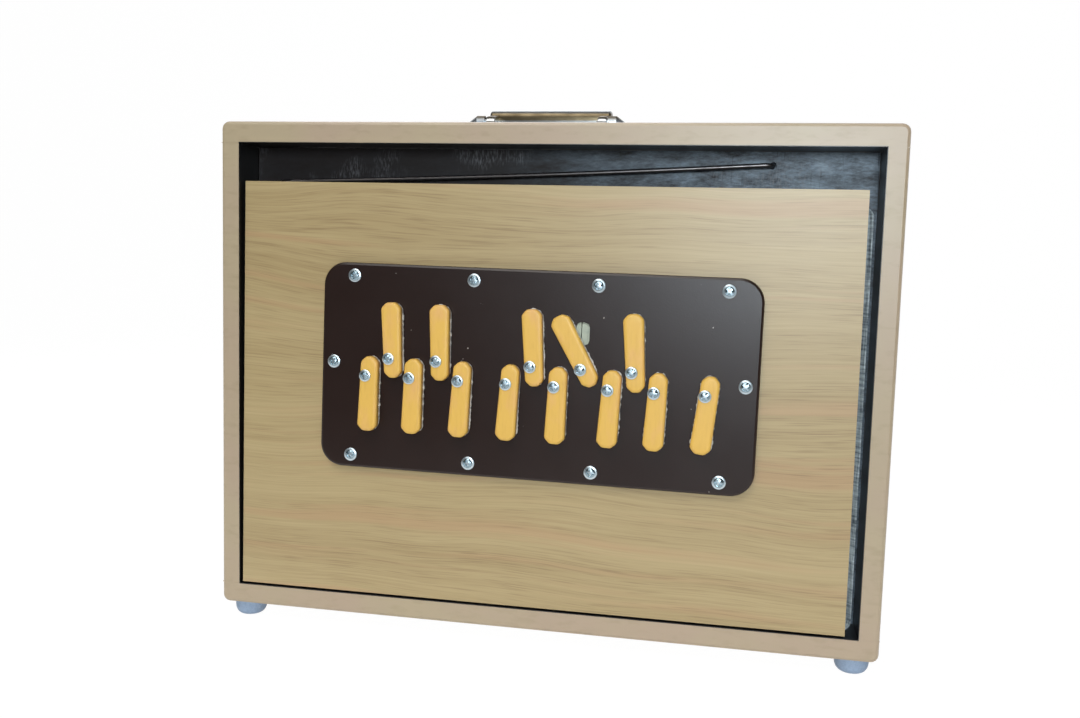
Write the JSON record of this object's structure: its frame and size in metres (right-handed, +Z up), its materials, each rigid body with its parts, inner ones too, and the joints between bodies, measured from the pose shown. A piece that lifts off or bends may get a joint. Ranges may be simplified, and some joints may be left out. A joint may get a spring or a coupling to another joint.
{
  "type": "shruti box",
  "caption": "Hand-pumped drone organ in a plank case: hinged pump and reservoir boards, free reeds behind swinging tabs, folding handle",
  "frame": {"origin": "on the ground under the middle of the whole box, tabs included", "axes": "X to the player's right, Y away from the player, Z up"},
  "size_m": [0.4064, 0.1006, 0.3275],
  "materials": {
    "beige_lacquer": "satin",
    "dark_paint": "satin",
    "oak_laminate": "satin",
    "brown_satin": "satin",
    "yellow_plastic": "satin",
    "zinc_screw": "satin",
    "brass": "satin",
    "spring_steel": "satin",
    "bellows_cloth": "matte",
    "leather": "matte",
    "plain_wood": "matte",
    "chrome": "gloss",
    "foot_rubber": "matte"
  },
  "bodies": {
    "case": {"case_top": "beige_lacquer", "case_bottom": "beige_lacquer", "case_left": "beige_lacquer", "case_right": "beige_lacquer", "center_board": "dark_paint", "pump_frame": "plain_wood", "reservoir_bellows": "bellows_cloth", "pump_bellows": "bellows_cloth", "reservoir_spring": "spring_steel", "handle_bracket_left": "chrome", "handle_bracket_right": "chrome", "foot_front_left": "foot_rubber", "foot_front_right": "foot_rubber", "foot_rear_left": "foot_rubber", "foot_rear_right": "foot_rubber"},
    "front": {"front_board": "oak_laminate", "tab_plate": "brown_satin", "tab_screw_c": "zinc_screw", "tab_screw_c_sharp": "zinc_screw", "tab_screw_d": "zinc_screw", "tab_screw_d_sharp": "zinc_screw", "tab_screw_e": "zinc_screw", "tab_screw_f": "zinc_screw", "tab_screw_f_sharp": "zinc_screw", "tab_screw_g": "zinc_screw", "tab_screw_g_sharp": "zinc_screw", "tab_screw_a": "zinc_screw", "tab_screw_a_sharp": "zinc_screw", "tab_screw_b": "zinc_screw", "tab_screw_high_c": "zinc_screw", "reed_c": "brass", "reed_c_sharp": "brass", "reed_d": "brass", "reed_d_sharp": "brass", "reed_e": "brass", "reed_f": "brass", "reed_f_sharp": "brass", "reed_g": "brass", "reed_g_sharp": "brass", "reed_a": "brass", "reed_a_sharp": "brass", "reed_b": "brass", "reed_high_c": "brass"},
    "pump": {"pump_board": "beige_lacquer"},
    "transfer_valve": {"transfer_valve_flap": "leather"},
    "intake_valve": {"intake_valve_flap": "leather"},
    "handle": {"handle_grip": "chrome"},
    "tab_c": {"tab_c": "yellow_plastic"},
    "tab_c_sharp": {"tab_c_sharp": "yellow_plastic"},
    "tab_d": {"tab_d": "yellow_plastic"},
    "tab_d_sharp": {"tab_d_sharp": "yellow_plastic"},
    "tab_e": {"tab_e": "yellow_plastic"},
    "tab_f": {"tab_f": "yellow_plastic"},
    "tab_f_sharp": {"tab_f_sharp": "yellow_plastic"},
    "tab_g": {"tab_g": "yellow_plastic"},
    "tab_g_sharp": {"tab_g_sharp": "yellow_plastic"},
    "tab_a": {"tab_a": "yellow_plastic"},
    "tab_a_sharp": {"tab_a_sharp": "yellow_plastic"},
    "tab_b": {"tab_b": "yellow_plastic"},
    "tab_high_c": {"tab_high_c": "yellow_plastic"}
  },
  "joints": [
    {"name": "front_hinge", "type": "hinge", "parent": "case", "child": "front", "pos_m": [-0.0027, -0.03862, 0.0245], "axis": [1, 0, 0], "range_deg": [0, 8], "stiffness_Nm_per_rad": 1.5, "springref_deg": -6.88, "deforming": ["reservoir_bellows", "reservoir_spring"]},
    {"name": "pump_hinge", "type": "hinge", "parent": "case", "child": "pump", "pos_m": [0, 0.05028, 0.0245], "axis": [-1, 0, 0], "range_deg": [0, 15], "deforming": ["pump_bellows"]},
    {"name": "transfer_valve_hinge", "type": "hinge", "parent": "case", "child": "transfer_valve", "pos_m": [0, -0.01263, 0.16885], "axis": [-1, 0, 0], "range_deg": [0, 20], "stiffness_Nm_per_rad": 0.004},
    {"name": "intake_valve_hinge", "type": "hinge", "parent": "pump", "child": "intake_valve", "pos_m": [0, 0.04428, 0.16885], "axis": [-1, 0, 0], "range_deg": [0, 20], "stiffness_Nm_per_rad": 0.004},
    {"name": "handle_fold", "type": "hinge", "parent": "case", "child": "handle", "pos_m": [-0.0045, -0.01068, 0.3186], "axis": [1, 0, 0], "range_deg": [0, 90]},
    {"name": "tab_c_pivot", "type": "hinge", "parent": "front", "child": "tab_c", "pos_m": [-0.10472, -0.03646, 0.16228], "axis": [0, -0.9999, 0.0157], "range_deg": [0, 28]},
    {"name": "tab_c_sharp_pivot", "type": "hinge", "parent": "front", "child": "tab_c_sharp", "pos_m": [-0.09018, -0.03629, 0.17313], "axis": [0, -0.9999, 0.0157], "range_deg": [-22, 4]},
    {"name": "tab_d_pivot", "type": "hinge", "parent": "front", "child": "tab_d", "pos_m": [-0.07707, -0.03646, 0.16199], "axis": [0, -0.9999, 0.0157], "range_deg": [-20, 5]},
    {"name": "tab_d_sharp_pivot", "type": "hinge", "parent": "front", "child": "tab_d_sharp", "pos_m": [-0.06063, -0.0363, 0.17282], "axis": [0, -0.9999, 0.0157], "range_deg": [-18, 16]},
    {"name": "tab_e_pivot", "type": "hinge", "parent": "front", "child": "tab_e", "pos_m": [-0.04693, -0.03647, 0.16167], "axis": [0, -0.9999, 0.0157], "range_deg": [-30, 0]},
    {"name": "tab_f_pivot", "type": "hinge", "parent": "front", "child": "tab_f", "pos_m": [-0.01768, -0.03648, 0.16137], "axis": [0, -0.9999, 0.0157], "range_deg": [-12, 30]},
    {"name": "tab_f_sharp_pivot", "type": "hinge", "parent": "front", "child": "tab_f_sharp", "pos_m": [-0.00334, -0.0363, 0.17222], "axis": [0, -0.9999, 0.0157], "range_deg": [-6, 24]},
    {"name": "tab_g_pivot", "type": "hinge", "parent": "front", "child": "tab_g", "pos_m": [0.01117, -0.03648, 0.16107], "axis": [0, -0.9999, 0.0157], "range_deg": [-30, 0]},
    {"name": "tab_g_sharp_pivot", "type": "hinge", "parent": "front", "child": "tab_g_sharp", "pos_m": [0.02651, -0.03631, 0.1719], "axis": [0, -0.9999, 0.0157], "range_deg": [-26, 0]},
    {"name": "tab_a_pivot", "type": "hinge", "parent": "front", "child": "tab_a", "pos_m": [0.04282, -0.03648, 0.16073], "axis": [0, -0.9999, 0.0157], "range_deg": [0, 14]},
    {"name": "tab_a_sharp_pivot", "type": "hinge", "parent": "front", "child": "tab_a_sharp", "pos_m": [0.05636, -0.03631, 0.17159], "axis": [0, -0.9999, 0.0157], "range_deg": [-15, 0]},
    {"name": "tab_b_pivot", "type": "hinge", "parent": "front", "child": "tab_b", "pos_m": [0.06957, -0.03649, 0.16045], "axis": [0, -0.9999, 0.0157], "range_deg": [-26, 0]},
    {"name": "tab_high_c_pivot", "type": "hinge", "parent": "front", "child": "tab_high_c", "pos_m": [0.09872, -0.03649, 0.16015], "axis": [0, -0.9999, 0.0157], "range_deg": [-26, 30]}
  ]
}
